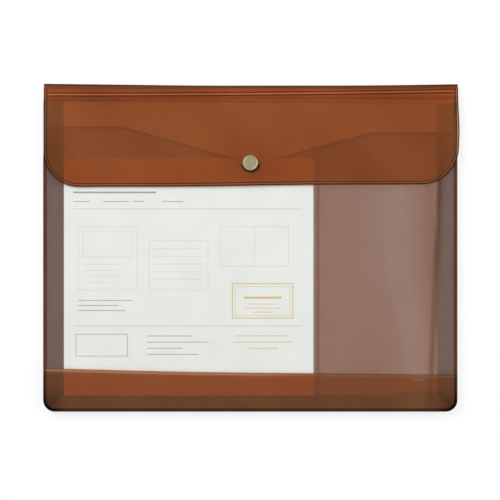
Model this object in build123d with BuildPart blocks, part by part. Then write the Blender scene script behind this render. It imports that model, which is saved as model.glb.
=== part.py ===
"""A flat document case of soft plastic sheet, lying on its back.

The brown back panel, fold and flap are one sheet. A clear bellows gusset joins the back to a clear front panel, which
carries a clear pocket welded into two compartments, with a card in the wider one, and a brown band along the bottom.
A second clear pocket with a scooped mouth lies outside the back panel. A ring snap closes the flap.

X runs across the case, Y from the bottom seam towards the fold, and Z from the surface it lies on up through the front.
"""

import os

from build123d import *

# Outline of the case.
case_width = 350.0
case_height = 277.0
corner_radius = 10.0
weld_width = 2.5

# Thickness of each sheet.
brown_sheet = 0.5
clear_sheet = 0.3
panel_sheet = 0.4
card_sheet = 0.3

# Free room between the sheets of the empty case.
back_pocket_room = 0.5
compartment_room = 4.6
front_pocket_room = 1.2
card_clearance = 0.1

# Heights up the case, measured down from the outside of the fold.
front_panel_drop = 14.4
crease_drop = 9.0
flap_length = 86.0
snap_edge_gap = 19.0
snap_mouth_gap = 6.0
back_pocket_drop = 36.5
scoop_depth = 29.0
scoop_width = 210.0

# Pieces on the front.
band_height = 31.0
divider_x = 56.0
divider_width = 4.2
card_side_gap = 14.9
card_divider_gap = 0.5
card_foot_gap = 11.1
card_mouth_gap = 1.4

# Flap.
flap_side_gap = 1.5
flap_corner_radius = 25.0
flap_fold_clearance = 0.7
flap_edge_clearance = 0.6
flap_crease_flat = 11.0
flap_snap_flat = 8.0
flap_crease_bend = 40.0
flap_snap_bend = 60.0
flap_edge_bend = 25.0
border_inset = 2.2
press_width = 0.8
press_depth = 0.15
crease_pitch = 2.2

# Gusset: each half of the bellows, and the strip of it that is welded.
gusset_half = 14.4

# Ring snap.
cap_radius = 6.5
cap_rim = 0.7
cap_height = 1.6
cap_ring_radius = 5.0
rivet_radius = 1.5
rivet_flare = 2.3
flare_height = 0.25
rivet_hole_gap = 0.05
socket_radius = 5.2
socket_nose_radius = 3.9
socket_plate = 0.3
socket_height = 2.05
stud_flange_radius = 5.0
stud_flange = 0.4
stud_neck_radius = 1.8
stud_bulb_radius = 2.2
stud_bulb_length = 0.7
stud_top_gap = 0.1
stud_bore_gap = 0.25
spring_wire = 0.5
spring_grip = 0.15
spring_slack = 0.05
spring_gap_angle = 30.0
post_head_radius = 4.5
post_head = 0.4
post_radius = 1.2
post_end_gap = 0.6
snap_gap = 2.6

# Heights of the faces above the surface the case lies on.
back_pocket_top = clear_sheet
back_panel_low = back_pocket_top + back_pocket_room
back_panel_top = back_panel_low + brown_sheet
front_panel_low = back_panel_top + compartment_room
front_panel_top = front_panel_low + panel_sheet
front_weld_low = front_panel_low - clear_sheet
card_low = front_panel_top + card_clearance
front_pocket_low = front_panel_top + front_pocket_room
front_pocket_top = front_pocket_low + clear_sheet
flap_low_at_fold = front_panel_top + flap_fold_clearance
flap_low_at_snap = front_pocket_top + snap_gap
flap_low_at_edge = front_pocket_top + flap_edge_clearance
flap_top_at_snap = flap_low_at_snap + brown_sheet

# Places along Y.
top_y = case_height / 2
bottom_y = -case_height / 2
front_panel_y = top_y - front_panel_drop
crease_y = top_y - crease_drop
flap_edge_y = top_y - flap_length
snap_y = flap_edge_y + snap_edge_gap
front_pocket_y = snap_y + snap_mouth_gap
shoulder_y = top_y - back_pocket_drop
band_y = bottom_y + band_height

# Edges of the card, set off from its compartment.
card_top_y = front_pocket_y - card_mouth_gap
card_low_y = bottom_y + weld_width + card_foot_gap
card_left_x = -case_width / 2 + weld_width + card_side_gap
card_right_x = divider_x - divider_width / 2 - card_divider_gap

# The fold is a half round from the back panel to the flap, and the case hinges about its middle.
fold_radius = (flap_low_at_fold + brown_sheet - back_panel_low) / 2
fold_y = top_y - fold_radius
fold_z = back_panel_low + fold_radius



def case_outline(inset, upper_y):
    """Outline of the case up to upper_y, inset from the sides and the bottom, with its two round bottom corners."""
    with BuildSketch(mode=Mode.PRIVATE) as outline:
        with Locations((0, bottom_y + inset)):
            Rectangle(
                case_width - 2 * inset,
                upper_y - bottom_y - inset,
                align=(Align.CENTER, Align.MIN),
            )
        fillet(outline.vertices().group_by(Axis.Y)[0], corner_radius - inset)
    return outline.sketch


def flap_section(rise, thickness):
    """Side view of the flap's sheet, raised by rise: flat at the crease, up to the snap, and down to its edge."""
    with BuildSketch(mode=Mode.PRIVATE) as section:
        with BuildLine():
            FilletPolyline(
                (fold_y, flap_low_at_fold + rise),
                (top_y - flap_crease_flat, flap_low_at_fold + rise),
                (snap_y + flap_snap_flat, flap_low_at_snap + rise),
                (snap_y - flap_snap_flat, flap_low_at_snap + rise),
                (flap_edge_y, flap_low_at_edge + rise),
                radius=(flap_crease_bend, flap_snap_bend, flap_edge_bend),
            )
            offset(amount=thickness, side=Side.RIGHT)
        make_face()
    return section.sketch


def flap_outline(inset):
    """Flap seen from above, inset from its sides and its free edge."""
    with BuildSketch(mode=Mode.PRIVATE) as outline:
        with Locations((0, flap_edge_y + inset)):
            Rectangle(
                case_width - 2 * flap_side_gap - 2 * inset,
                fold_y - flap_edge_y - inset,
                align=(Align.CENTER, Align.MIN),
            )
        fillet(outline.vertices().group_by(Axis.Y)[0], flap_corner_radius - inset)
    return outline.sketch


def scooped_edge():
    """Outline of the back pocket, whose mouth dips in one wide scoop between two shoulders."""
    half = scoop_width / 2
    with BuildSketch(mode=Mode.PRIVATE) as scoop:
        with BuildLine():
            dip = (0, shoulder_y - scoop_depth)
            left = Bezier(
                (-half, shoulder_y), (-half * 0.62, shoulder_y), (-half * 0.43, dip[1]), dip
            )
            right = Bezier(
                dip, (half * 0.43, dip[1]), (half * 0.62, shoulder_y), (half, shoulder_y)
            )
            Line(right @ 1, left @ 0)
        make_face()
    return scoop.sketch


# Brown back panel: full width above the side seams, and inside the weld below them.
with BuildPart() as back_panel:
    with BuildSketch(Plane.XY.offset(back_panel_low)):
        add(case_outline(weld_width, fold_y))
        with Locations((0, front_panel_y)):
            Rectangle(case_width, fold_y - front_panel_y, align=(Align.CENTER, Align.MIN))
    extrude(amount=brown_sheet)
back_panel.part.label = "back_panel"

# Clear pocket outside the back panel.
with BuildPart() as back_pocket:
    with BuildSketch(Plane.XY):
        add(case_outline(weld_width, shoulder_y))
        add(scooped_edge(), mode=Mode.SUBTRACT)
    extrude(amount=clear_sheet)
back_pocket.part.label = "back_pocket"

# Fused rim that joins the back panel, the back pocket and the gusset on three sides.
with BuildPart() as back_weld:
    with BuildSketch(Plane.XY):
        add(case_outline(0, front_panel_y))
        add(case_outline(weld_width, front_panel_y), mode=Mode.SUBTRACT)
    extrude(amount=back_panel_low)
    with BuildSketch(Plane.XY.offset(back_panel_low)):
        add(case_outline(0, front_panel_y))
        add(case_outline(weld_width, front_panel_y), mode=Mode.SUBTRACT)
    extrude(amount=brown_sheet)
back_weld.part.label = "back_weld"

# Clear bellows gusset down both sides and along the bottom, folded inwards, with mitred corners.
gusset_middle = (back_panel_top + front_weld_low) / 2
fold_x = weld_width + gusset_half
inner_fold_x = fold_x - clear_sheet * gusset_half / (gusset_middle - back_panel_top)
with BuildPart() as gusset:
    with BuildLine() as gusset_path:
        Polyline(
            (-case_width / 2, front_panel_y, 0),
            (-case_width / 2, bottom_y, 0),
            (case_width / 2, bottom_y, 0),
            (case_width / 2, front_panel_y, 0),
        )
    gusset_start = Plane(
        origin=(-case_width / 2, front_panel_y, 0), x_dir=(1, 0, 0), z_dir=(0, -1, 0)
    )
    with BuildSketch(gusset_start):
        with BuildLine():
            Polyline(
                (0, front_weld_low),
                (weld_width, front_weld_low),
                (fold_x, gusset_middle),
                (weld_width, back_panel_top),
                (0, back_panel_top),
                (0, back_panel_top + clear_sheet),
                (weld_width, back_panel_top + clear_sheet),
                (inner_fold_x, gusset_middle),
                (weld_width, front_weld_low - clear_sheet),
                (0, front_weld_low - clear_sheet),
                close=True,
            )
        make_face()
    sweep(path=gusset_path.line, transition=Transition.RIGHT)
    with BuildSketch(Plane.XY):
        add(case_outline(0, front_panel_y))
    extrude(amount=front_weld_low, mode=Mode.INTERSECT)
gusset.part.label = "gusset"

# Clear front panel, whose top edge is the mouth of the main compartment.
with BuildPart() as front_panel:
    with BuildSketch(Plane.XY.offset(front_panel_low)):
        add(case_outline(weld_width, front_panel_y))
    extrude(amount=panel_sheet)
front_panel.part.label = "front_panel"

# Clear pocket sheet on the front panel, with the two pressed lines of the divider and a hole for the snap.
with BuildPart() as front_pocket:
    with BuildSketch(Plane.XY.offset(front_pocket_low)):
        add(case_outline(weld_width, front_pocket_y))
        with Locations((0, snap_y)):
            Circle(post_radius + rivet_hole_gap, mode=Mode.SUBTRACT)
    extrude(amount=clear_sheet)
    with BuildSketch(Plane.XY.offset(front_pocket_top)):
        with Locations((divider_x, (band_y + front_pocket_y) / 2)):
            with GridLocations(divider_width - press_width, 0, 2, 1):
                Rectangle(press_width, front_pocket_y - band_y)
    extrude(amount=-press_depth, mode=Mode.SUBTRACT)
front_pocket.part.label = "front_pocket"

# Fused rim of the front, lower beside the front panel alone, with the line that divides the pocket.
with BuildPart() as front_weld:
    with BuildSketch(Plane.XY.offset(front_weld_low)):
        add(case_outline(0, front_panel_y))
        add(case_outline(weld_width, front_panel_y), mode=Mode.SUBTRACT)
    extrude(amount=front_panel_top - front_weld_low)
    with BuildSketch(Plane.XY.offset(front_panel_top)):
        add(case_outline(0, front_pocket_y))
        add(case_outline(weld_width, front_pocket_y), mode=Mode.SUBTRACT)
    extrude(amount=front_pocket_top - front_panel_top)
    with BuildSketch(Plane.XY.offset(front_panel_top)):
        with Locations((divider_x, bottom_y + weld_width)):
            Rectangle(
                divider_width,
                front_pocket_y - bottom_y - weld_width,
                align=(Align.CENTER, Align.MIN),
            )
    extrude(amount=front_pocket_room)
front_weld.part.label = "front_weld"

# Brown band across the bottom of the front, over the pocket and the weld.
with BuildPart() as bottom_band:
    with BuildSketch(Plane.XY.offset(front_pocket_top)):
        add(case_outline(0, band_y))
    extrude(amount=panel_sheet)
bottom_band.part.label = "bottom_band"

# Card in the wider compartment of the front pocket, which it nearly fills.
with BuildPart() as insert_card:
    with BuildSketch(Plane.XY.offset(card_low)):
        with Locations((card_left_x, card_low_y)):
            Rectangle(
                card_right_x - card_left_x,
                card_top_y - card_low_y,
                align=(Align.MIN, Align.MIN),
            )
    extrude(amount=card_sheet)
insert_card.part.label = "insert_card"

# Flap: a bent sheet cut to its outline, with a pressed border line and a pressed double crease.
with BuildPart() as border_line:
    with BuildSketch(Plane.XY):
        add(flap_outline(border_inset))
        add(flap_outline(border_inset + press_width), mode=Mode.SUBTRACT)
        with Locations((0, crease_y)):
            with GridLocations(0, crease_pitch, 1, 2):
                Rectangle(case_width, press_width)
    extrude(amount=flap_top_at_snap)
    with BuildSketch(Plane.YZ):
        add(flap_section(brown_sheet - press_depth, brown_sheet))
    extrude(amount=case_width / 2, both=True, mode=Mode.INTERSECT)

with BuildPart() as flap:
    with BuildSketch(Plane.YZ):
        add(flap_section(0, brown_sheet))
    extrude(amount=case_width / 2, both=True)
    with BuildSketch(Plane.XY):
        add(flap_outline(0))
        with Locations((0, snap_y)):
            Circle(rivet_radius + rivet_hole_gap, mode=Mode.SUBTRACT)
    extrude(amount=flap_top_at_snap, mode=Mode.INTERSECT)
    add(border_line.part, mode=Mode.SUBTRACT)
flap.part.label = "flap"

# The fold, a living hinge: the same sheet, bent half round between the back panel and the flap.
with BuildPart() as flap_fold:
    with BuildSketch(Plane.YZ):
        with Locations((fold_y, fold_z)):
            Circle(fold_radius)
            Circle(fold_radius - brown_sheet, mode=Mode.SUBTRACT)
        with Locations((fold_y, fold_z)):
            Rectangle(
                2 * fold_radius, 2 * fold_radius, align=(Align.MAX, Align.CENTER), mode=Mode.SUBTRACT
            )
    extrude(amount=case_width / 2 - flap_side_gap, both=True)
flap_fold.part.label = "flap_fold"

# Ring snap, all turned about one upright line.
cap_top = flap_top_at_snap + cap_height
snap_plane = Plane(origin=(0, snap_y, 0), x_dir=(1, 0, 0), z_dir=(0, -1, 0))
snap_axis = Axis((0, snap_y, 0), (0, 0, 1))
plate_low = flap_low_at_snap - socket_plate
flare_low = plate_low - flare_height
socket_low = flap_low_at_snap - socket_height
stud_flange_top = front_pocket_top + stud_flange
stud_top = flare_low - stud_top_gap
bulb_low = stud_top - stud_bulb_length
spring_radius = stud_bulb_radius - spring_grip + spring_wire / 2
spring_z = bulb_low - spring_wire / 2 - spring_slack
socket_bore = stud_bulb_radius + stud_bore_gap

# Cap on the flap, flat inside its round rim, and the rivet that holds the socket under the flap.
with BuildPart() as snap_cap:
    with BuildSketch(snap_plane):
        with BuildLine():
            edge = Polyline(
                (0, flare_low),
                (rivet_flare, flare_low),
                (rivet_flare, plate_low),
                (rivet_radius, plate_low),
                (rivet_radius, flap_top_at_snap),
                (cap_radius, flap_top_at_snap),
                (cap_radius, flap_top_at_snap + cap_rim),
            )
            rim = TangentArc(edge @ 1, (cap_ring_radius, cap_top), tangent=(0, 1))
            Polyline(
                rim @ 1,
                (cap_ring_radius - press_depth, cap_top - press_depth),
                (0, cap_top - press_depth),
                edge @ 0,
            )
        make_face()
    revolve(axis=snap_axis)
snap_cap.part.label = "snap_cap"

# Socket under the flap: a plate with a nose that is bored for the stud and grooved for the spring.
groove_radius = spring_radius + spring_wire / 2 + spring_slack
with BuildPart() as snap_socket:
    with BuildSketch(snap_plane):
        with BuildLine():
            Polyline(
                (rivet_radius + rivet_hole_gap, flap_low_at_snap),
                (socket_radius, flap_low_at_snap),
                (socket_radius, plate_low - socket_plate),
                (socket_nose_radius, plate_low - socket_plate),
                (socket_nose_radius, socket_low + socket_plate),
                (socket_nose_radius - socket_plate, socket_low),
                (socket_bore + socket_plate, socket_low),
                (socket_bore, socket_low + socket_plate),
                (socket_bore, plate_low),
                (rivet_radius + rivet_hole_gap, plate_low),
                close=True,
            )
        make_face()
        with Locations(((socket_bore + groove_radius) / 2, spring_z)):
            Rectangle(
                groove_radius - socket_bore, spring_wire + 2 * spring_slack, mode=Mode.SUBTRACT
            )
    revolve(axis=snap_axis)
snap_socket.part.label = "snap_socket"

# Split ring spring in the socket, which grips the stud's neck under its bulb.
with BuildPart() as snap_spring:
    with BuildSketch(snap_plane):
        with Locations((spring_radius, spring_z)):
            Circle(spring_wire / 2)
    revolve(axis=snap_axis, revolution_arc=360 - spring_gap_angle)
snap_spring.part.label = "snap_spring"

# Stud on the pocket sheet: flange, neck and bulb, hollow for the post.
with BuildPart() as snap_stud:
    with BuildSketch(snap_plane):
        with BuildLine():
            base = Polyline(
                (post_radius + rivet_hole_gap, front_pocket_top),
                (stud_flange_radius, front_pocket_top),
                (stud_flange_radius, stud_flange_top - stud_flange / 2),
                (stud_flange_radius - stud_flange / 2, stud_flange_top),
                (stud_neck_radius, stud_flange_top),
                (stud_neck_radius, bulb_low - stud_bulb_radius + stud_neck_radius),
                (stud_bulb_radius, bulb_low + stud_bulb_length / 4),
            )
            bulb = RadiusArc(base @ 1, (stud_neck_radius, stud_top), -stud_bulb_length)
            Polyline(
                bulb @ 1,
                (0, stud_top),
                (0, stud_top - post_end_gap / 2),
                (post_radius + rivet_hole_gap, stud_top - post_end_gap / 2),
                base @ 0,
            )
        make_face()
    revolve(axis=snap_axis)
snap_stud.part.label = "snap_stud"

# Post behind the pocket sheet, whose shank fills the stud.
with BuildPart() as snap_post:
    with BuildSketch(snap_plane):
        with BuildLine():
            Polyline(
                (0, front_pocket_low - post_head),
                (post_head_radius - post_head / 2, front_pocket_low - post_head),
                (post_head_radius, front_pocket_low - post_head / 2),
                (post_head_radius, front_pocket_low),
                (post_radius, front_pocket_low),
                (post_radius, stud_top - post_end_gap),
                (0, stud_top - post_end_gap),
                close=True,
            )
        make_face()
    revolve(axis=snap_axis)
snap_post.part.label = "snap_post"

pieces = [
    back_panel,
    back_pocket,
    back_weld,
    gusset,
    front_panel,
    front_pocket,
    front_weld,
    bottom_band,
    insert_card,
    flap,
    flap_fold,
    snap_cap,
    snap_socket,
    snap_spring,
    snap_stud,
    snap_post,
]
os.makedirs("parts", exist_ok=True)
for piece in pieces:
    export_step(piece.part, f"parts/{piece.part.label}.step")

print(f"fold hinge line at y {fold_y:.3f} z {fold_z:.3f}")
print(f"card {card_right_x - card_left_x:.1f} by {card_top_y - card_low_y:.1f}, {fold_y - card_top_y:.1f} below the fold line")
print(f"faces: compartment {back_panel_top:.2f} to {front_panel_low:.2f}, snap top {cap_top:.2f}")
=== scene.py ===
"""Dresses the document case: soft vinyl sheets, fused seams, a printed card and a brass snap.

Meshes are written in millimetres, and finish_mesh turns them into metres. X runs across the case, Y up it
towards the fold, and Z away from the surface that it lies on."""

import math

import bpy
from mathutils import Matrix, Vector


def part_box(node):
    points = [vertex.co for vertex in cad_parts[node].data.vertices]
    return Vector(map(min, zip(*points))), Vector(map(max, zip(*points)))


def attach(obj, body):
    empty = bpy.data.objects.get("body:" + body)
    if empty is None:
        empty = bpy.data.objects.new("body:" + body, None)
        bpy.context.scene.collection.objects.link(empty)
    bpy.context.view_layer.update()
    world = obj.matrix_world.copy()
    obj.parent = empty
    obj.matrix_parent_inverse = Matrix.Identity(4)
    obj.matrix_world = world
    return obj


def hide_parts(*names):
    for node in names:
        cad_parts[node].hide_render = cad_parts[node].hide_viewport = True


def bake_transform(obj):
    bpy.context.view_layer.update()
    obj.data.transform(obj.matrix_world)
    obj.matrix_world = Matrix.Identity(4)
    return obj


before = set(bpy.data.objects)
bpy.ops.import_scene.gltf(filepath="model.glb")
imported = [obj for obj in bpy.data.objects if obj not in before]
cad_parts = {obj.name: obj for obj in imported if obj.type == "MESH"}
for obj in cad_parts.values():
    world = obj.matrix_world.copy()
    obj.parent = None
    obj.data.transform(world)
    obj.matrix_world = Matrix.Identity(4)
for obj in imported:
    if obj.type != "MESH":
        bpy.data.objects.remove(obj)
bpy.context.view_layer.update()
MM = 0.001


# Places, in millimetres, read from the frame where a CAD node gives them.
def node_box(node):
    """Lower and upper corner of a CAD node, in millimetres."""
    lo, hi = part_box(node)
    return [v / MM for v in lo], [v / MM for v in hi]


(case_left, case_bottom, _), (case_right, _, _) = node_box("front_weld")
flap_lo, flap_hi = node_box("flap")
pocket_lo, pocket_hi = node_box("front_pocket")
band_lo, band_hi = node_box("bottom_band")
gusset_lo, gusset_hi = node_box("gusset")
fold_lo, fold_hi = node_box("flap_fold")
card_lo, card_hi = node_box("insert_card")
cap_lo, cap_hi = node_box("snap_cap")

# Sizes, in millimetres: the case's half width, the seams' width, the corners, and the brown and clear sheets.
HALF_WIDTH = 175.0
WELD = 2.5
FLAP_RADIUS = 30.0
CASE_RADIUS = 10.0
BROWN = 0.5
CLEAR = 0.3
GUSSET_HALF = 14.4
DIVIDER_X = 56.0
DIVIDER_HALF = 2.1
CREASE_DROP = 8.4
SNAP_Y = (cap_lo[1] + cap_hi[1]) / 2
CREASE_Y = fold_hi[1] - CREASE_DROP
FOLD_RADIUS = (fold_hi[2] - fold_lo[2]) / 2

# What a mesh's tone of 1, its painted light and shade, does to the vinyl: darkens its colour, dims its tint,
# and adds to its cover.
TONE_DARKENS = 0.9
TONE_DIMS = (0.70, 0.85, 0.95)
TONE_COVERS = 0.22


# Nodes and materials.
def new_material(name):
    """An empty material: gives it, its nodes, its links and its output."""
    mat = bpy.data.materials.new(name)
    mat.use_nodes = True
    nodes = mat.node_tree.nodes
    nodes.clear()
    out = nodes.new("ShaderNodeOutputMaterial")
    return mat, nodes, mat.node_tree.links, out


def noise(nodes, links, scale, detail=2.0, stretch=(1, 1, 1)):
    """Noise on the piece's own coordinates, in metres, with features about 1/scale wide."""
    place = nodes.new("ShaderNodeTexCoord")
    mapping = nodes.new("ShaderNodeMapping")
    mapping.inputs["Scale"].default_value = stretch
    links.new(place.outputs["Object"], mapping.inputs["Vector"])
    tex = nodes.new("ShaderNodeTexNoise")
    tex.inputs["Scale"].default_value = scale
    tex.inputs["Detail"].default_value = detail
    links.new(mapping.outputs["Vector"], tex.inputs["Vector"])
    return tex.outputs["Fac"]


def ramp(nodes, links, fac, stops):
    """A colour ramp through (place, colour) stops."""
    node = nodes.new("ShaderNodeValToRGB")
    links.new(fac, node.inputs["Fac"])
    elements = node.color_ramp.elements
    elements[0].position, elements[1].position = stops[0][0], stops[-1][0]
    elements[0].color, elements[1].color = (*stops[0][1], 1), (*stops[-1][1], 1)
    for at, colour in stops[1:-1]:
        elements.new(at).color = (*colour, 1)
    return node.outputs["Color"]


def bump(nodes, links, height, strength, distance, under=None):
    """A bump from a height, laid over the one under it."""
    node = nodes.new("ShaderNodeBump")
    node.inputs["Strength"].default_value = strength
    node.inputs["Distance"].default_value = distance
    links.new(height, node.inputs["Height"])
    if under is not None:
        links.new(under, node.inputs["Normal"])
    return node.outputs["Normal"]


def shade(colour, k):
    """A colour made k times as light."""
    return tuple(min(1.0, c * k) for c in colour)


def calc(nodes, links, operation, *values, clamp=False):
    """One arithmetic node: each value is a number or a socket."""
    node = nodes.new("ShaderNodeMath")
    node.operation = operation
    node.use_clamp = clamp
    for socket, value in zip(node.inputs, values):
        if isinstance(value, (int, float)):
            socket.default_value = value
        else:
            links.new(value, socket)
    return node.outputs[0]


def scaled(nodes, links, colour, amount):
    """A colour, given as a socket or as three numbers, times a socket's value."""
    node = nodes.new("ShaderNodeVectorMath")
    node.operation = "SCALE"
    if isinstance(colour, tuple):
        node.inputs[0].default_value = colour
    else:
        links.new(colour, node.inputs[0])
    links.new(amount, node.inputs["Scale"])
    return node.outputs[0]


def vinyl(
    name, colour, cover, tint, rough, mottle=0.06, grain=0.05, waves=0.25, gloss=0.5,
    glint=(0.42, 0.25, 0.14),
):
    """Soft vinyl sheet, with broad waves and a fine grain.

    Each face covers a share of what is behind it and tints the rest. The mesh's own tone is painted light and
    shade: below 0 it darkens pressed lines and folds as painted shade, and above 0 it adds the glint, a
    painted highlight, to ridges."""
    mat, nodes, links, out = new_material(name)
    body = nodes.new("ShaderNodeBsdfPrincipled")
    mesh_tone = nodes.new("ShaderNodeAttribute")
    mesh_tone.attribute_name = "tone"
    tone = mesh_tone.outputs["Fac"]
    dark = calc(nodes, links, "MINIMUM", tone, 0.0)
    light = calc(nodes, links, "MAXIMUM", tone, 0.0)
    patches = noise(nodes, links, 28, 3.0)
    shades = [(0.3, shade(colour, 1 - mottle)), (0.7, shade(colour, 1 + mottle))]
    mottled = ramp(nodes, links, patches, shades)
    kept = calc(nodes, links, "MULTIPLY_ADD", dark, TONE_DARKENS, 1.0, clamp=True)
    darkened = scaled(nodes, links, mottled, kept)
    lit = nodes.new("ShaderNodeVectorMath")
    lit.operation = "ADD"
    links.new(darkened, lit.inputs[0])
    links.new(scaled(nodes, links, glint, light), lit.inputs[1])
    links.new(lit.outputs[0], body.inputs["Base Color"])
    body.inputs["Roughness"].default_value = rough
    body.inputs["IOR"].default_value = 1.5
    body.inputs["Specular IOR Level"].default_value = gloss
    broad = bump(nodes, links, noise(nodes, links, 22, 1.0, (1, 0.55, 1)), waves, 0.002)
    fine = bump(nodes, links, noise(nodes, links, 1600, 2.0), grain, 0.0002, broad)
    links.new(fine, body.inputs["Normal"])
    clear = nodes.new("ShaderNodeBsdfTransparent")
    dim = nodes.new("ShaderNodeVectorMath")
    dim.operation = "MULTIPLY_ADD"
    links.new(dark, dim.inputs[0])
    dim.inputs[1].default_value = tuple(k * t for k, t in zip(TONE_DIMS, tint))
    dim.inputs[2].default_value = tint
    links.new(dim.outputs[0], clear.inputs["Color"])
    mix = nodes.new("ShaderNodeMixShader")
    share = calc(nodes, links, "MULTIPLY_ADD", light, TONE_COVERS, cover, clamp=True)
    links.new(share, mix.inputs["Fac"])
    links.new(clear.outputs[0], mix.inputs[1])
    links.new(body.outputs[0], mix.inputs[2])
    links.new(mix.outputs[0], out.inputs["Surface"])
    return mat


def clear_at_divider(mat):
    """Makes a seam material clear along the pocket's divider, where no brown shows."""
    nodes, links = mat.node_tree.nodes, mat.node_tree.links
    out = next(n for n in nodes if n.bl_idname == "ShaderNodeOutputMaterial")
    seam = out.inputs["Surface"].links[0].from_socket
    place = nodes.new("ShaderNodeTexCoord")
    split = nodes.new("ShaderNodeSeparateXYZ")
    links.new(place.outputs["Object"], split.inputs[0])
    across = calc(nodes, links, "COMPARE", split.outputs["X"], DIVIDER_X * MM, (DIVIDER_HALF + 0.3) * MM)
    above = calc(nodes, links, "GREATER_THAN", split.outputs["Y"], (case_bottom + WELD + 0.2) * MM)
    clear = nodes.new("ShaderNodeBsdfTransparent")
    clear.inputs["Color"].default_value = (0.97, 0.96, 0.955, 1)
    mix = nodes.new("ShaderNodeMixShader")
    links.new(calc(nodes, links, "MULTIPLY", across, above), mix.inputs["Fac"])
    links.new(seam, mix.inputs[1])
    links.new(clear.outputs[0], mix.inputs[2])
    links.new(mix.outputs[0], out.inputs["Surface"])


def solid(name, stops, scale, rough, metal=0.0, detail=2.0, grain=(400, 0.1, 0.0002), gloss=0.5):
    """An opaque finish whose colour and roughness vary a little over the piece."""
    mat, nodes, links, out = new_material(name)
    body = nodes.new("ShaderNodeBsdfPrincipled")
    fac = noise(nodes, links, scale, detail)
    links.new(ramp(nodes, links, fac, stops), body.inputs["Base Color"])
    body.inputs["Metallic"].default_value = metal
    body.inputs["Specular IOR Level"].default_value = gloss
    spread = nodes.new("ShaderNodeMapRange")
    spread.inputs["To Min"].default_value = rough[0]
    spread.inputs["To Max"].default_value = rough[1]
    links.new(fac, spread.inputs["Value"])
    links.new(spread.outputs["Result"], body.inputs["Roughness"])
    links.new(bump(nodes, links, noise(nodes, links, grain[0]), grain[1], grain[2]), body.inputs["Normal"])
    links.new(body.outputs[0], out.inputs["Surface"])
    return mat


# Glint of the clear sheets' ridges.
PALE = (0.62, 0.56, 0.52)


def seam_vinyl(name):
    """Fused rim of the brown and clear sheets: dark, dull and nearly opaque."""
    return vinyl(
        name, (0.105, 0.034, 0.010), 0.80, (0.75, 0.45, 0.30), 0.35, waves=0.3, grain=0.2, gloss=0.15
    )


mat_flap = vinyl(
    "brown_vinyl", (0.265, 0.112, 0.041), 0.30, (0.91, 0.58, 0.355), 0.24, mottle=0.09, gloss=0.35
)
mat_back = vinyl("brown_vinyl_back", (0.33, 0.125, 0.064), 0.12, (0.885, 0.62, 0.475), 0.30, gloss=0.3)
mat_band = vinyl("brown_vinyl_band", (0.195, 0.122, 0.064), 0.30, (0.94, 0.59, 0.38), 0.26, gloss=0.35)
mat_clear = vinyl(
    "clear_vinyl", (0.55, 0.58, 0.57), 0.018, (0.985, 0.983, 0.98), 0.16, waves=0.5, glint=PALE
)
mat_panel = vinyl(
    "clear_vinyl_panel", (0.17, 0.255, 0.30), 0.11, (0.925, 0.94, 0.94), 0.22, waves=0.3, glint=PALE
)
mat_pocket = vinyl(
    "clear_vinyl_back_pocket", (0.3, 0.31, 0.34), 0.06, (0.865, 0.835, 0.84), 0.22, waves=0.3, glint=PALE
)
mat_gusset = vinyl(
    "clear_vinyl_gusset", (0.20, 0.18, 0.15), 0.03, (0.89, 0.862, 0.80), 0.2, waves=0.4, glint=PALE
)
mat_weld = seam_vinyl("fused_seam")
mat_front_weld = seam_vinyl("fused_seam_front")
clear_at_divider(mat_front_weld)
mat_card = solid(
    "card", [(0.35, (0.80, 0.817, 0.786)), (0.65, (0.83, 0.847, 0.82))], 60, (0.7, 0.85), gloss=0.25
)
mat_rule = solid("print_grey", [(0.3, (0.30, 0.31, 0.32)), (0.7, (0.38, 0.39, 0.40))], 900, (0.6, 0.8))
mat_blue = solid("print_blue", [(0.3, (0.50, 0.60, 0.64)), (0.7, (0.58, 0.67, 0.70))], 900, (0.6, 0.8))
mat_gold = solid("print_gold", [(0.3, (0.62, 0.47, 0.17)), (0.7, (0.74, 0.58, 0.26))], 900, (0.4, 0.6))
mat_brass = solid(
    "antique_brass", [(0.3, (0.42, 0.375, 0.22)), (0.7, (0.48, 0.43, 0.26))], 350, (0.42, 0.55),
    metal=0.85, grain=(2500, 0.12, 0.00005),
)
mat_steel = solid("spring_wire", [(0.3, (0.5, 0.5, 0.5)), (0.7, (0.6, 0.6, 0.6))], 600, (0.2, 0.3), metal=1.0)


# Meshes.
def spread_out(lo, hi, step):
    """Evenly spaced values from lo to hi, no further apart than step."""
    count = max(1, math.ceil((hi - lo) / step - 1e-9))
    return [lo + (hi - lo) * i / count for i in range(count + 1)]


def merged(values, near=0.05):
    """The values in order, without those that lie too near the one before."""
    kept = []
    for v in sorted(values):
        if not kept or v - kept[-1] > near:
            kept.append(v)
    return kept


def smooth(t):
    """Rises softly from 0 to 1."""
    t = min(1.0, max(0.0, t))
    return t * t * (3 - 2 * t)


def hump(x, at, width):
    """A soft bump of height 1."""
    return math.exp(-(((x - at) / width) ** 2))


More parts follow.
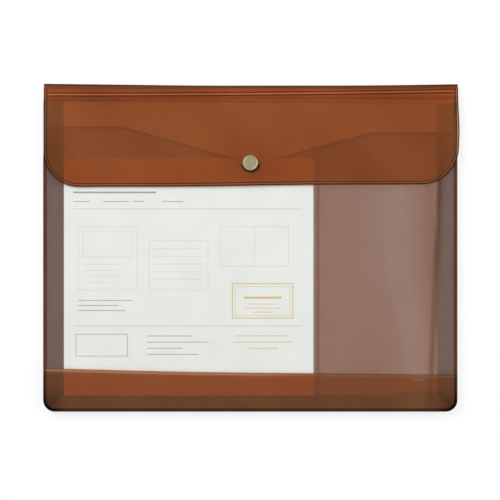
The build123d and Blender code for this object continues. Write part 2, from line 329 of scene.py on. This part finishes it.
def plate(half, bottom, top, radius, insets, xs, ys, arc=10, rows=()):
    """Plan of a sheet with two round bottom corners and an open top.

    Rings run along its three closed sides, with a grid inside them. Rows are heights of the grid's lines
    below the corners' centres. Gives the points as (x, y, distance from the edge) and the faces."""
    points, index, faces = [], {}, []

    def point(x, y, d):
        key = (round(x, 4), round(y, 4))
        if key not in index:
            index[key] = len(points)
            points.append((x, y, d))
        return index[key]

    def face(*ring):
        ring = [p for i, p in enumerate(ring) if p != ring[i - 1]]
        if len(ring) > 2:
            faces.append(ring)

    corner_y = bottom + radius
    rises = [y for y in ys if corner_y < y < top]
    levels = [top, *sorted(rises, reverse=True), corner_y]

    def ring_at(d):
        r = radius - d
        left = [(-half + d, y) for y in levels]
        turn = [math.pi + math.pi / 2 * i / arc for i in range(1, arc)]
        left += [(-half + radius + r * math.cos(a), corner_y + r * math.sin(a)) for a in turn]
        floor = [(x, bottom + d) for x in xs if abs(x) < half - radius - 0.05]
        floor = [(-half + radius, bottom + d), *floor, (half - radius, bottom + d)]
        right = [(-x, y) for x, y in reversed(left)]
        return left + floor + right

    rings = [[point(x, y, d) for x, y in ring_at(d)] for d in insets]
    for outer, inner in zip(rings, rings[1:]):
        for a, b, c, d in zip(outer, outer[1:], inner[1:], inner):
            face(a, b, c, d)
    inset = insets[-1]
    inner = ring_at(inset)
    first = len(levels) - 1
    columns = inner[first : len(inner) - first]
    depth = corner_y - bottom - inset
    shares = [(v - bottom - inset) / depth for v in rows] or [0.2, 0.4, 0.6, 0.8]
    grid = []
    for x, y in columns:
        heights = [y, *(y + (corner_y - y) * share for share in shares), *sorted(levels)]
        grid.append([point(x, h, inset + min(h - y, inset)) for h in heights])
    for a, b in zip(grid, grid[1:]):
        for j in range(len(a) - 1):
            face(a[j], b[j], b[j + 1], a[j + 1])
    return points, faces


def finish_mesh(name, verts, faces, material, body, replaced=(), sharp=40, tones=()):
    """Makes the piece, with its tones, on its body, in place of the CAD nodes that it replaces."""
    mesh = bpy.data.meshes.new(name)
    mesh.from_pydata([tuple(c * MM for c in v) for v in verts], [], faces)
    mesh.validate()
    if tones:
        layer = mesh.attributes.new("tone", "FLOAT", "POINT")
        layer.data.foreach_set("value", [*tones, *[0.0] * (len(verts) - len(tones))])
    mesh.materials.append(material)
    mesh.shade_smooth()
    mesh.set_sharp_from_angle(angle=math.radians(sharp))
    obj = bpy.data.objects.new(name, mesh)
    bpy.context.collection.objects.link(obj)
    if body:
        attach(obj, body)
    if replaced:
        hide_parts(*replaced)
    return obj


def thick(points, faces, low, top):
    """Closed sheet over a plan, with walls round the rim.

    Its upper face is at top(x, y, d) and its lower one at low(x, y, d)."""
    n = len(points)
    verts = [(x, y, top(x, y, d)) for x, y, d in points]
    verts += [(x, y, low(x, y, d)) for x, y, d in points]
    out = [list(f) for f in faces] + [[i + n for i in reversed(f)] for f in faces]
    count = {}
    for f in faces:
        for a, b in zip(f, f[1:] + f[:1]):
            count[(a, b)] = count.get((a, b), 0) + 1
    for a, b in count:
        if (b, a) not in count:
            out.append([b, a, a + n, b + n])
    return verts, out


def ease_line(t, soft=0.1):
    """Rises from 0 to 1 in a straight line, rounded where it leaves the one and meets the other."""

    def bent(v):
        return 0.0 if v < -soft else v if v > soft else (v + soft) ** 2 / (4 * soft)

    return bent(t) - bent(t - 1)


# Flap: low beside the snap, lifted at it, with a pressed border and a pressed double crease.
def along(y, stops):
    """Smooth height at y between (y, height) stops, given from high y to low y."""
    if y >= stops[0][0]:
        return stops[0][1]
    for (y0, z0), (y1, z1) in zip(stops, stops[1:]):
        if y >= y1:
            return z0 + (z1 - z0) * smooth((y0 - y) / (y0 - y1))
    return stops[-1][1]


flap_edge = flap_lo[1]
flap_bottom_z = flap_lo[2]
FLAP_BEND_Y = 127.5
LIFT_Z = 10.35
CREASE_HALF = 1.15


def flap_low(x, y):
    """Underside of the flap."""
    fold_end = (FLAP_BEND_Y, flap_bottom_z)
    lifted = along(y, [fold_end, (SNAP_Y + 7, LIFT_Z), (SNAP_Y - 8, LIFT_Z), (flap_edge, 8.6)])
    lying = along(y, [fold_end, (92, 8.35), (70, 8.75), (flap_edge, 8.25)])
    near = hump(x, 0, 62) * 0.78 + hump(x, 0, 17) * 0.22
    free = smooth((131 - y) / 30)
    ripple = 0.22 * math.sin(x / 27 + 1.3) * math.sin(y / 19 + x / 90) + 0.12 * math.sin(x / 11.5 + y / 23)
    return lying + (lifted - lying) * near + free * ripple * (1 - 0.8 * hump(x, 0, 40))


def crease_at(x):
    """Middle of the double crease, which runs a little lower on the left."""
    return CREASE_Y + 0.009 * x + 0.9 * (x / HALF_WIDTH) ** 2


def press(d, at, half_width, depth):
    """Depth of a pressed line."""
    return -depth * smooth(1 - abs(d - at) / half_width)


def flap_top(x, y, d):
    """Upper face of the flap, with its border and double crease."""
    z = flap_low(x, y) + BROWN
    z += press(d, 2.4, 0.75, 0.22) + 0.10 * hump(d, 1.3, 0.6) - 0.14 * smooth(1 - d / 0.7)
    side = smooth((d - 2.6) / 1.2)
    up = y - crease_at(x)
    for at in (-CREASE_HALF, CREASE_HALF):
        z += press(up, at, 0.7, 0.2) * side
    return z + 0.12 * hump(up, 0, 0.7) * side


def flap_tone(x, y, d):
    """Painted highlights and shade on the pressed border and the double crease, the darker strip at the fold,
    soft patches, and the painted shade below the snap with a faint painted highlight round it.
    """
    tone = 0.65 * hump(d, 1.6, 0.38) - 0.95 * hump(d, 2.5, 0.55) - 1.2 * hump(d, 0.2, 0.85)
    tone += 0.15 * hump(d, 3.5, 0.6)
    up = y - crease_at(x)
    lines = 0.85 * hump(up, 0, 0.5) - 0.80 * hump(up, 1.2, 0.45) - 0.80 * hump(up, -CREASE_HALF, 0.5)
    tone += lines * smooth((d - 2.6) / 0.8)
    tone -= 0.22 * smooth((y - 123.5) / 2) + 0.22 * hump(y, 126.3, 1.8)
    tone += 0.06 * math.sin(x / 38 + 1) * math.sin(y / 17) + 0.04 * math.sin(x / 13 + y / 15)
    out = math.hypot(x, y - SNAP_Y)
    below = smooth((SNAP_Y + 1 - y) / 5)
    return tone - 1.1 * hump(out, 7.1, 1.0) * below + 0.10 * hump(out, 8.8, 1.2)


near_snap = spread_out(-9.6, 9.6, 0.8)
flap_xs = merged(spread_out(-140, 140, 5) + near_snap, 0.6)
crease_rows = [CREASE_Y + k * 0.4 for k in range(-9, 14)]
flap_ys = merged(spread_out(flap_edge + FLAP_RADIUS, flap_hi[1], 3.2) + crease_rows, 0.3)
flap_plan = plate(
    flap_hi[0], flap_edge, flap_hi[1], FLAP_RADIUS,
    [0, 0.35, 0.7, 1.0, 1.3, 1.6, 1.9, 2.2, 2.5, 2.8, 3.1, 3.5, 4.1, 5.0, 7.0], flap_xs, flap_ys,
    arc=18, rows=[SNAP_Y + v for v in near_snap],
)
flap_verts, flap_faces = thick(*flap_plan, lambda x, y, d: flap_low(x, y), flap_top)
flap_tones = [flap_tone(*p) for p in flap_plan[0]]
# The underside's tones: painted shade along its rim.
flap_tones += [-0.8 * hump(d, 0, 0.8) for x, y, d in flap_plan[0]]


def spread_x(x):
    """The flap and fold lie a little wider than they were cut, and a little to the right."""
    return x * 1.009 + 0.5


def flap_skew(v):
    """The soft free edge hangs a little lower on the left, and the fold line bows a little."""
    x, y, z = v
    free = smooth((fold_lo[1] - 8 - y) / 70)
    bulge = 1.1 * hump(y, 99, 20) * smooth((x - 140) / 30)
    return spread_x(x) + bulge, y + free * (1.6 * x / HALF_WIDTH + 0.25 * math.sin(x / 31)), z


finish_mesh(
    "flap_skin", [flap_skew(v) for v in flap_verts], flap_faces, mat_flap, "flap", ("flap",),
    50, flap_tones,
)

# The fold: a half tube from the back panel to the flap.
fold_y = fold_lo[1]
fold_z = (fold_lo[2] + fold_hi[2]) / 2
tube_xs = spread_out(fold_lo[0], fold_hi[0], 6)
turns = [math.pi * (i / 24 - 0.5) for i in range(25)]


def fold_squeeze(x):
    """Share of the fold's half round that is left. It lies flattest near the middle, so its outline bows."""
    return 1 - (1.1 + 0.3 * x / HALF_WIDTH - 1.4 * (x / HALF_WIDTH) ** 2) / FOLD_RADIUS


verts, faces, tones = [], [], []
for x in tube_xs:
    squeeze = fold_squeeze(x)
    for side in (0, 1):
        for a in turns:
            dent = 0.10 * math.sin(x / 23 + 2 * a) * math.cos(a)
            r = FOLD_RADIUS - side * BROWN + dent
            verts.append((spread_x(x), fold_y + r * math.cos(a) * squeeze, fold_z + r * math.sin(a)))
            # Painted shade over the whole fold, darkest round its outer curve.
            tones.append(-0.2 - 0.8 * smooth((math.cos(a) - 0.55) / 0.25))
span = len(turns)
ring = 2 * span
for i in range(len(tube_xs) - 1):
    for j in range(span - 1):
        a, b = i * ring + j, (i + 1) * ring + j
        faces.append([a, b, b + 1, a + 1])
        a, b = a + span, b + span
        faces.append([b, a, a + 1, b + 1])
    for j in (0, span - 1):
        a, b = i * ring + j, (i + 1) * ring + j
        faces.append([b, a, a + span, b + span] if j == 0 else [a, b, b + span, a + span])
for i in (0, len(tube_xs) - 1):
    for j in range(span - 1):
        a = i * ring + j
        quad = [a, a + 1, a + 1 + span, a + span]
        faces.append(quad if i == 0 else quad[::-1])
fold_skin = finish_mesh("fold_skin", verts, faces, mat_flap, None, (), 50, tones)
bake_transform(fold_skin)
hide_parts("flap_fold")


# Gusset: a bellows strip down both sides and along the bottom, folded inwards.
SIDE_STEPS = 36
FLOOR_STEPS = 28
FOLD_SHARES = (0.12, 0.35, 0.6, 0.85, 0.97)
INNER_TIP = 1.7


def leg(length, count):
    """Distances from a corner along one side: close together at the corner, then even."""
    near = [0, 1.2, 2.6, 4.5]
    return near + [near[-1] + (length - near[-1]) * i / count for i in range(1, count + 1)]


def path_at(d):
    """Points along the three closed sides at distance d inside the outline, as many for every d."""
    r = max(CASE_RADIUS - d, 0.6)
    left, right, floor = case_left + d, case_right - d, case_bottom + d
    top = gusset_hi[1] + 0.6
    low_top = top - 3.2
    turn = [math.pi / 2 * i / 6 for i in range(1, 6)]
    half = (right - left) / 2 - r
    out = [(left, floor + r + q) for q in reversed(leg(top - floor - r, SIDE_STEPS))]
    out += [(left + r - r * math.cos(a), floor + r - r * math.sin(a)) for a in turn]
    out += [(left + r + q, floor) for q in leg(half, FLOOR_STEPS)]
    out += [(right - r - q, floor) for q in reversed(leg(half, FLOOR_STEPS)[:-1])]
    out += [(right - r + r * math.sin(a), floor + r - r * math.cos(a)) for a in turn]
    out += [(right, floor + r + q) for q in leg(low_top - floor - r, SIDE_STEPS)]
    return out


g_low, g_high = gusset_lo[2], gusset_hi[2]
g_mid = (g_low + g_high) / 2
fold_in = WELD + GUSSET_HALF


def bellows(depth, high):
    """One face of the strip's section: from the upper rim in to the fold, and back out to the lower rim."""
    half = [(0.15, high), (WELD, high)]
    half += [(WELD + depth * t, high + (g_mid - high) * t) for t in FOLD_SHARES]
    return [*half, (WELD + depth, g_mid), *((d, 2 * g_mid - z) for d, z in reversed(half))]


section = bellows(GUSSET_HALF, g_high) + bellows(GUSSET_HALF - INNER_TIP, g_high - CLEAR)[::-1]


def gusset_sway(x, y, d):
    """The inner fold wanders a little along the sides and the bottom, and is true at the mitred corners."""
    depth = smooth((d - WELD) / GUSSET_HALF)
    along_side = smooth((y + 118) / 25)
    along_floor = smooth((138 - abs(x)) / 25) * smooth((-105 - y) / 5)
    side = 0.7 * math.sin(y / 22 + x / 90) + 0.35 * math.sin(y / 9.5 + 2) + 1.4 * (x > 0) * hump(y, -60, 60)
    floor = 0.5 * math.sin(x / 26 + 0.8) + 0.3 * math.sin(x / 11) - 3.0
    return x - math.copysign(side * depth * along_side, x), y + floor * depth * along_floor


def gusset_tone(x, y, d):
    """Painted shade along the inner fold and the corners' mitre lines, darker side strips beside the mitres,
    painted shade where the flap lies over the left strip and the band over the bottom strip, and a faint
    painted highlight near the rim.
    """
    across, up = case_right - abs(x), y - case_bottom
    fold_line = 0.30 * hump(d, fold_in, 1.6) * (1.0 if x > 0 else 0.6)
    mitre = 1.3 * hump(across - up, 0, 1.8) * smooth((22 - across) / 3)
    mitre += 0.22 * smooth((36 - up) / 6) * (across < up)
    covered = 0.26 * smooth((y - 50) / 8) * (x < 0) + 0.12 * smooth((-118 - y) / 4)
    return 0.10 * hump(d, 4.2, 1.0) - fold_line - mitre - covered


lines, tones = [], []
for d, z in section:
    line = []
    for x, y in path_at(d):
        tones.append(gusset_tone(x, y, d) if z > g_mid - 0.01 else 0.0)
        line.append((*gusset_sway(x, y, d), z))
    lines.append(line)
count = len(lines[0])
verts = [p for line in lines for p in line]
faces = []
for i in range(len(lines)):
    j = (i + 1) % len(lines)
    for k in range(count - 1):
        faces.append([i * count + k, i * count + k + 1, j * count + k + 1, j * count + k])
faces.append([i * count for i in range(len(lines))])
faces.append([i * count + count - 1 for i in reversed(range(len(lines)))])
gusset_skin = finish_mesh("gusset_skin", verts, faces, mat_gusset, None, (), 60, tones)
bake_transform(gusset_skin)
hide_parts("gusset")


# Front pocket sheet: gentle waves, pressed down along the divider.
def pocket_wave(x, y):
    """Height of the waves, which die out at the seams, the divider and the snap."""
    inside = smooth((172.5 - abs(x)) / 12) * smooth((y + 136) / 14)
    z = 0.20 * math.sin(x / 34 + 0.7) * math.sin(y / 47 + 0.4)
    z += 0.42 * hump(x, 143, 11) * (0.75 + 0.25 * math.sin(y / 41)) - 0.30 * hump(x, 158, 6)
    z += 0.22 * hump(x, 96, 20) * math.sin(y / 63 + 1.0)
    z += 0.16 * hump(x - 0.12 * y, -98, 26) + 0.12 * math.sin(x / 19 + y / 71)
    z *= inside * (1 - 0.9 * hump(x, 0, 14) * hump(y, SNAP_Y, 14))
    grip = hump(x, DIVIDER_X, 7)
    return z * (1 - grip) - 0.12 * hump(x, DIVIDER_X, 2.6)


def pocket_top(x, y, d):
    """Upper face, with a pressed line along each side of the divider."""
    ridge = 0.10 * (hump(x, DIVIDER_X - DIVIDER_HALF, 0.5) + hump(x, DIVIDER_X + DIVIDER_HALF, 0.5))
    return pocket_hi[2] + pocket_wave(x, y) - ridge


def pocket_tone(x, y, d):
    """Painted highlights along the rim, light and dark lines along the mouth and the divider, and the tall
    soft streaks of the right-hand compartment: a painted sheen and dark streaks that stand in for
    reflections.
    """
    edge = pocket_hi[1] - y
    tone = 0.25 * hump(d, 0.6, 0.55) - 0.30 * hump(edge, 0.3, 0.5) + 0.25 * hump(edge, 1.3, 0.6)
    tone += 0.22 * hump(x, DIVIDER_X - 1.6, 0.8) - 0.34 * hump(x, DIVIDER_X + 1.4, 0.9)
    sheen_x = 124 + 15 * smooth((-5 - y) / 85)
    tone += 0.24 * hump(x, sheen_x, 13.5) + 0.08 * hump(x, 100, 16) * math.sin(y / 60 + 1)
    tone -= 0.45 * hump(x - 0.045 * y, 157.5, 2.8) + 0.13 * hump(x, 150.5, 4.5) * smooth((y + 50) / 40)
    return tone + 0.22 * hump(x, 157.6, 1.0)


divider_xs = [DIVIDER_X + k * 0.45 for k in range(-10, 11)]
pocket_xs = spread_out(-160, 124, 4) + spread_out(124, 164, 1.2) + divider_xs + spread_out(-6, 6, 1.5)
pocket_ys = spread_out(-128, 74, 7) + [pocket_hi[1] - k * 0.5 for k in range(1, 6)]
pocket_plan = plate(
    pocket_hi[0], pocket_lo[1], pocket_hi[1], CASE_RADIUS - WELD, [0, 0.3, 0.6, 0.9, 1.3, 2.0, 4.0],
    merged(pocket_xs, 0.3), pocket_ys, arc=8,
)
pocket_verts, pocket_faces = thick(
    *pocket_plan, lambda x, y, d: pocket_lo[2] + pocket_wave(x, y), pocket_top
)
pocket_tones = [pocket_tone(*p) for p in pocket_plan[0]]


def pocket_skew(v):
    """The free mouth of the pocket waves a little."""
    x, y, z = v
    free = smooth((y - 40) / 37.5)
    return x, y + free * (0.9 * math.sin(x / 60 + 0.6) - 0.3), z


finish_mesh(
    "pocket_skin", [pocket_skew(v) for v in pocket_verts], pocket_faces, mat_clear, "front",
    ("front_pocket",), 50, pocket_tones,
)

# Front panel: a flat clear sheet whose upper edge slants a little.
panel_lo, panel_hi = node_box("front_panel")


def panel_tone(x, y, d):
    """A painted highlight and a line of painted shade along the upper edge."""
    edge = panel_hi[1] - y
    return 1.0 * hump(edge, 1.6, 0.5) - 1.0 * hump(edge, 0.3, 0.5)


def panel_skew(v):
    """The upper edge runs lower on the right."""
    x, y, z = v
    return x, y - 1.2 * x / HALF_WIDTH * smooth((y - 60) / 60), z


SHEET_RINGS = [0, 0.6, 4.0]
sheet_xs = spread_out(-160, 160, 8)
panel_ys = spread_out(-128, 118, 12) + [panel_hi[1] - k * 0.45 for k in range(1, 10)]
panel_plan = plate(
    panel_hi[0], panel_lo[1], panel_hi[1], CASE_RADIUS - WELD, SHEET_RINGS, sheet_xs, panel_ys, arc=8
)
panel_verts, panel_faces = thick(*panel_plan, lambda x, y, d: panel_lo[2], lambda x, y, d: panel_hi[2])
finish_mesh(
    "panel_skin", [panel_skew(v) for v in panel_verts], panel_faces, mat_panel, "front", ("front_panel",),
    50, [panel_tone(*p) for p in panel_plan[0]],
)

# Back pocket: a flat clear sheet whose mouth falls in straight flanks from two shoulders to one wide dip.
back_lo, back_hi = node_box("back_pocket")
LEFT_SHOULDER = (-108.0, 103.4)
RIGHT_SHOULDER = (104.0, 98.5)
DIP_LEFT, DIP_RIGHT = -12.0, 18.0
DIP_Y = 75.6
MOUTH_SOFT = 0.06
MOUTH_FOOT = 30


def mouth_y(x):
    """Height of the back pocket's mouth: higher at the left shoulder than at the right one."""
    left_half = x < (DIP_LEFT + DIP_RIGHT) / 2
    (shoulder_x, shoulder_y), dip_x = (LEFT_SHOULDER, DIP_LEFT) if left_half else (RIGHT_SHOULDER, DIP_RIGHT)
    fall = ease_line((x - shoulder_x) / (dip_x - shoulder_x), MOUTH_SOFT)
    return shoulder_y + (DIP_Y - shoulder_y) * fall


def mouth_tone(x, y, d):
    """A painted highlight and a line of painted shade along the mouth."""
    edge = back_hi[1] - y
    return 1.0 * hump(edge, 0, 0.5) - 0.90 * hump(edge, 1.4, 0.7)


def mouth_skew(v):
    """Draws the straight upper edge down to the mouth's shape."""
    x, y, z = v
    return x, y + (mouth_y(x) - back_hi[1]) * smooth((y - MOUTH_FOOT) / (back_hi[1] - MOUTH_FOOT)), z


mouth_ys = spread_out(-128, 98, 9) + [back_hi[1] - k * 0.45 for k in range(1, 9)]
mouth_plan = plate(
    back_hi[0], back_lo[1], back_hi[1], CASE_RADIUS - WELD, SHEET_RINGS, spread_out(-160, 160, 3),
    mouth_ys, arc=8,
)
mouth_verts, mouth_faces = thick(*mouth_plan, lambda x, y, d: back_lo[2], lambda x, y, d: back_hi[2])
finish_mesh(
    "back_pocket_skin", [mouth_skew(v) for v in mouth_verts], mouth_faces, mat_pocket, "back",
    ("back_pocket",), 50, [mouth_tone(*p) for p in mouth_plan[0]],
)


# Bottom band, with a soft rolled top edge.
def band_top(x, y, d):
    """Upper face of the band, with its rolled edge and the line pressed along its rim."""
    edge = band_hi[1] - y
    z = band_hi[2] - 0.22 * smooth(1 - edge / 0.9) + 0.14 * hump(edge, 2.2, 0.9) - 0.10 * hump(edge, 4.2, 0.9)
    z += press(d, 2.5, 0.9, 0.12) - 0.15 * smooth(1 - d / 0.8)
    return z + 0.05 * math.sin(x / 21) * smooth(d / 6)


def band_tone(x, y, d):
    """Painted highlight along the upper edge, weaker on the right, and a line of painted shade at the very
    edge, stronger on the right; a dark fused rim; and darker mitred corners where the gusset is doubled.
    """
    edge = band_hi[1] - y
    across, up = case_right - abs(x), y - case_bottom
    corner = smooth((25 - math.hypot(across, up)) / 20)
    right = smooth(x / 60)
    tone = 0.75 * hump(edge, 1.6, 1.2) * (1 - 0.7 * right) - (0.35 + 0.4 * right) * hump(edge, 0, 0.45)
    tone -= 0.75 * hump(d, 1.6, 0.95) + 0.48 * corner
    return tone


band_ys = merged(spread_out(-128, -107.5, 3) + [band_hi[1] - k * 0.5 for k in range(1, 12)], 0.3)
band_plan = plate(
    band_hi[0], band_lo[1], band_hi[1], CASE_RADIUS, [0, 0.4, 0.9, 1.6, 2.1, 2.5, 2.9, 3.4, 4.5],
    spread_out(-165, 165, 3), band_ys, arc=12,
)
band_verts, band_faces = thick(*band_plan, lambda x, y, d: band_lo[2], band_top)
band_tones = [band_tone(*p) for p in band_plan[0]]


def band_skew(v):
    """The upper edge runs lower on the right."""
    x, y, z = v
    free = smooth((y + 128) / 20)
    t = x / HALF_WIDTH
    return x, y + free * (2.0 - 2.6 * t + 1.1 * t * t + 0.15 * math.sin(x / 37)), z


finish_mesh(
    "band_skin", [band_skew(v) for v in band_verts], band_faces, mat_band, "front", ("bottom_band",),
    50, band_tones,
)

# Print on the card: plain rules, form boxes and a label frame, with no lettering.
print_z = card_hi[2]
prints = {"grey": ([], []), "blue": ([], []), "gold": ([], [])}


def ink(colour, x0, y0, x1, y1):
    """A printed patch, as a very thin closed block on the card."""
    verts, faces = prints[colour]
    n = len(verts)
    for z in (print_z - 0.02, print_z + 0.03):
        verts += [(x0, y0, z), (x1, y0, z), (x1, y1, z), (x0, y1, z)]
    for f in ((3, 2, 1, 0), (4, 5, 6, 7), (0, 1, 5, 4), (1, 2, 6, 5), (2, 3, 7, 6), (3, 0, 4, 7)):
        faces.append([n + i for i in f])


def box_lines(colour, x0, y0, x1, y1, line=0.35):
    """A printed box, drawn with four rules."""
    ink(colour, x0, y0, x1, y0 + line)
    ink(colour, x0, y1 - line, x1, y1)
    ink(colour, x0, y0 + line, x0 + line, y1 - line)
    ink(colour, x1 - line, y0 + line, x1, y1 - line)


left, right = card_lo[0], card_hi[0]
top = card_hi[1]
ink("grey", left + 8, top - 30.0, left + 78, top - 28.6)
for k, w in enumerate((14, 22, 10, 18)):
    ink("grey", left + 8 + k * 25, top - 37.2, left + 8 + k * 25 + w, top - 36.6)
ink("grey", left + 8, top - 43.4, right - 10, top - 43.1)
ink("grey", left + 8, top - 142.4, right - 10, top - 142.1)
box_lines("blue", left + 12, top - 112, left + 62, top - 58)
box_lines("blue", left + 16, top - 84, left + 58, top - 62)
for k in range(4):
    ink("blue", left + 16, top - 90.5 - k * 5, left + 50 - 5 * (k % 2), top - 90.2 - k * 5)
box_lines("blue", left + 72, top - 112, left + 122, top - 70)
for k in range(5):
    ink("blue", left + 76, top - 77 - k * 6.5, left + 118, top - 76.7 - k * 6.5)
box_lines("blue", left + 132, top - 92, left + 190, top - 58)
ink("blue", left + 161, top - 91.6, left + 161.35, top - 58.4)
for k, w in enumerate((46, 34, 40)):
    ink("grey", left + 12, top - 121 - k * 4.2, left + 12 + w, top - 120.4 - k * 4.2)
for k, w in enumerate((38, 52, 30, 44)):
    ink("grey", left + 70, top - 151 - k * 5.2, left + 70 + w, top - 150.4 - k * 5.2)
box_lines("grey", left + 10, top - 168, left + 54, top - 149, 0.5)
box_lines("gold", left + 142, top - 136, left + 194, top - 106, 0.8)
box_lines("gold", left + 144.5, top - 133.5, left + 191.5, top - 108.5, 0.35)
ink("gold", left + 152, top - 119.2, left + 184, top - 117.4)
for k, w in enumerate((24, 30, 18)):
    ink("gold", left + 168 - w / 2, top - 124 - k * 3.4, left + 168 + w / 2, top - 123.4 - k * 3.4)
for k, w in enumerate((44, 50, 26)):
    ink("gold", left + 168 - w / 2, top - 151 - k * 5.2, left + 168 + w / 2, top - 150.3 - k * 5.2)
for colour, mat in (("grey", mat_rule), ("blue", mat_blue), ("gold", mat_gold)):
    verts, faces = prints[colour]
    finish_mesh("card_print_" + colour, verts, faces, mat, "card", (), 30)

# Finishes of the CAD pieces that stay.
finishes = {
    "back_panel": mat_back,
    "back_weld": mat_weld,
    "front_weld": mat_front_weld,
    "insert_card": mat_card,
    "snap_cap": mat_brass,
    "snap_socket": mat_brass,
    "snap_spring": mat_steel,
    "snap_stud": mat_brass,
    "snap_post": mat_brass,
}
for node, mat in finishes.items():
    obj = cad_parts[node]
    if not obj.material_slots:
        obj.data.materials.append(mat)
    for s in obj.material_slots:
        s.link = "OBJECT"
        s.material = mat

# Floor: keeps the case's shadow, and shows white to the camera and in reflections.
FLOOR_GREY = 0.25
FLOOR_GLOW = 0.76
FLOOR_HALF = 6.0
mat, nodes, links, out = new_material("floor")
ground = nodes.new("ShaderNodeBsdfDiffuse")
ground.inputs["Color"].default_value = (FLOOR_GREY, FLOOR_GREY, FLOOR_GREY, 1)
glow = nodes.new("ShaderNodeEmission")
glow.inputs["Color"].default_value = (1, 1, 1, 1)
seen = nodes.new("ShaderNodeLightPath")
either = calc(nodes, links, "MAXIMUM", seen.outputs["Is Camera Ray"], seen.outputs["Is Glossy Ray"])
links.new(calc(nodes, links, "MULTIPLY", either, FLOOR_GLOW), glow.inputs["Strength"])
both = nodes.new("ShaderNodeAddShader")
links.new(ground.outputs[0], both.inputs[0])
links.new(glow.outputs[0], both.inputs[1])
links.new(both.outputs[0], out.inputs["Surface"])
floor_mesh = bpy.data.meshes.new("floor")
corners = [(x * FLOOR_HALF, y * FLOOR_HALF, 0) for x, y in ((-1, -1), (1, -1), (1, 1), (-1, 1))]
floor_mesh.from_pydata(corners, [], [[0, 1, 2, 3]])
floor_mesh.materials.append(mat)
floor = bpy.data.objects.new("floor", floor_mesh)
floor.location.z = -0.0002
bpy.context.collection.objects.link(floor)

# World: a pale room, darker straight overhead, and white where the camera looks past the floor.
world = bpy.data.worlds.new("room")
bpy.context.scene.world = world
world.use_nodes = True
nodes, links = world.node_tree.nodes, world.node_tree.links
nodes.clear()
out = nodes.new("ShaderNodeOutputWorld")
sky = nodes.new("ShaderNodeBackground")
white = nodes.new("ShaderNodeBackground")
white.inputs["Color"].default_value = (1, 1, 1, 1)
place = nodes.new("ShaderNodeTexCoord")
split = nodes.new("ShaderNodeSeparateXYZ")
links.new(place.outputs["Generated"], split.inputs[0])
sky_stops = [(0.0, (0.95, 0.95, 0.96)), (0.55, (0.92, 0.92, 0.93))]
sky_stops += [(0.86, (0.55, 0.55, 0.56)), (0.97, (0.22, 0.22, 0.23))]
grey = ramp(nodes, links, split.outputs["Z"], sky_stops)
links.new(grey, sky.inputs["Color"])
sky.inputs["Strength"].default_value = 0.75
seen = nodes.new("ShaderNodeLightPath")
mix = nodes.new("ShaderNodeMixShader")
links.new(seen.outputs["Is Camera Ray"], mix.inputs["Fac"])
links.new(sky.outputs[0], mix.inputs[1])
links.new(white.outputs[0], mix.inputs[2])
links.new(mix.outputs[0], out.inputs["Surface"])


def lamp(name, place, size, power):
    """An area lamp that faces the case."""
    data = bpy.data.lights.new(name, "AREA")
    data.shape = "RECTANGLE"
    data.size, data.size_y = size
    data.energy = power
    obj = bpy.data.objects.new(name, data)
    obj.location = place
    obj.rotation_euler = (-Vector(place)).to_track_quat("-Z", "Y").to_euler()
    bpy.context.collection.objects.link(obj)
    return obj


lamp("key", (-0.9, 0.9, 1.3), (1.0, 0.8), 19.0)
lamp("fill", (1.3, 0.2, 0.9), (0.5, 1.2), 9.0)

# Camera: straight above, where the photograph was taken from. One pixel is SCALE mm at the height SCALE_Z.
SCALE = 0.8475
SCALE_Z = 4
PIXELS = 500
LENS = 100.0
SENSOR = 36.0
VIEW_X, VIEW_Y = -0.25, -1.9
camera = bpy.data.objects.new("camera", bpy.data.cameras.new("camera"))
camera.data.sensor_width = SENSOR
camera.data.lens = LENS
distance = PIXELS * SCALE * LENS / SENSOR
camera.location = (VIEW_X * MM, VIEW_Y * MM, (distance + SCALE_Z) * MM)
bpy.context.collection.objects.link(camera)
bpy.context.scene.camera = camera

scene = bpy.context.scene
scene.view_settings.view_transform = "Standard"
# Enough for a ray to pass both faces of every sheet that it meets.
scene.cycles.transparent_max_bounces = 32
